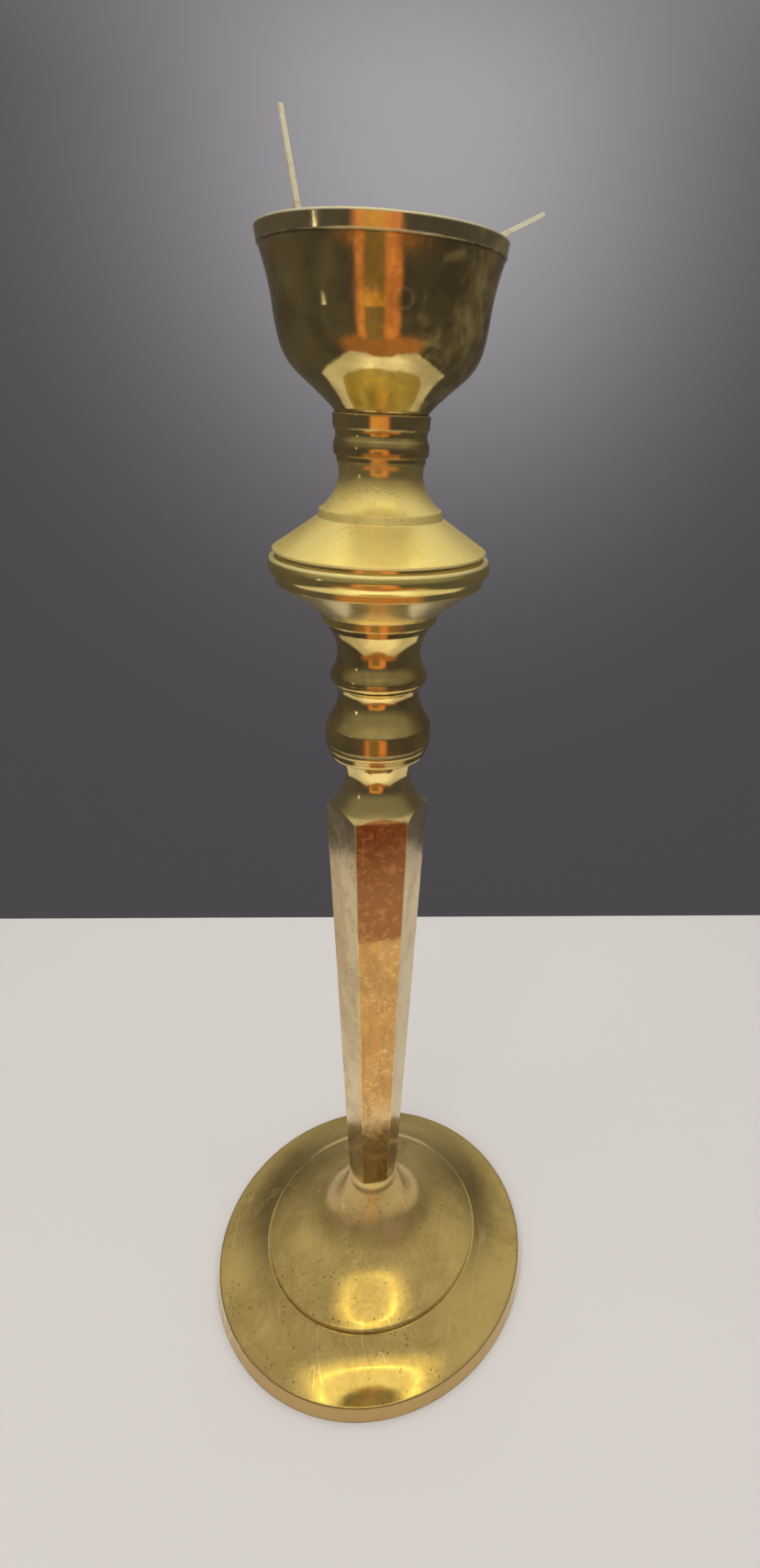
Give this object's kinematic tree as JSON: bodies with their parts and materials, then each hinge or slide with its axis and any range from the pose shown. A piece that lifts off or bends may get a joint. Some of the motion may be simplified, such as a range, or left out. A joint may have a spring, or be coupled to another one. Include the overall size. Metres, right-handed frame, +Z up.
{
  "type": "altar candlestick",
  "caption": "Tall brass altar candlestick: round domed foot, tapering hexagonal stem, turned rings, saucer knop and an open bell-shaped cup with a hinged arm on each side of its rim.",
  "frame": {"origin": "centre of the foot's underside, on the surface it stands on", "axes": "+Z up along the stem; -Y towards the side seen in front; the cup's hinged arms lie in an upright plane turned 15 degrees from X"},
  "size_m": [0.1992, 0.1992, 0.6535],
  "materials": {
    "foot_brass": "satin, patinated",
    "stem_brass": "polished, patinated",
    "turned_brass": "polished",
    "knop_brass": "satin",
    "cup_brass": "polished, patinated",
    "fitting_brass": "brushed",
    "arm_brass": "bright",
    "zinc_steel": "zinc plated"
  },
  "bodies": {
    "candlestick": {"foot": "foot_brass", "dome": "foot_brass", "hex_stem": "stem_brass", "wide_ring": "turned_brass", "spool": "turned_brass", "knop_dish": "knop_brass", "knop_cover": "knop_brass", "ring_collar": "turned_brass", "cup": "cup_brass", "cup_nut": "fitting_brass", "cup_washer": "fitting_brass", "saddle": "fitting_brass", "left_pin": "fitting_brass", "right_pin": "fitting_brass", "tie_rod": "zinc_steel", "foot_washer": "zinc_steel", "foot_lock_washer": "zinc_steel", "foot_nut": "zinc_steel"},
    "left_arm": {"left_arm": "arm_brass"},
    "right_arm": {"right_arm": "arm_brass"}
  },
  "joints": [
    {"name": "left_arm_hinge", "type": "hinge", "parent": "candlestick", "child": "left_arm", "pos_m": [-0.03439, -0.00921, 0.604], "axis": [0.2588, -0.9659, 0], "range_deg": [-44, 58]},
    {"name": "right_arm_hinge", "type": "hinge", "parent": "candlestick", "child": "right_arm", "pos_m": [0.03168, 0.00849, 0.604], "axis": [-0.2588, 0.9659, 0], "range_deg": [-97, 9]}
  ]
}
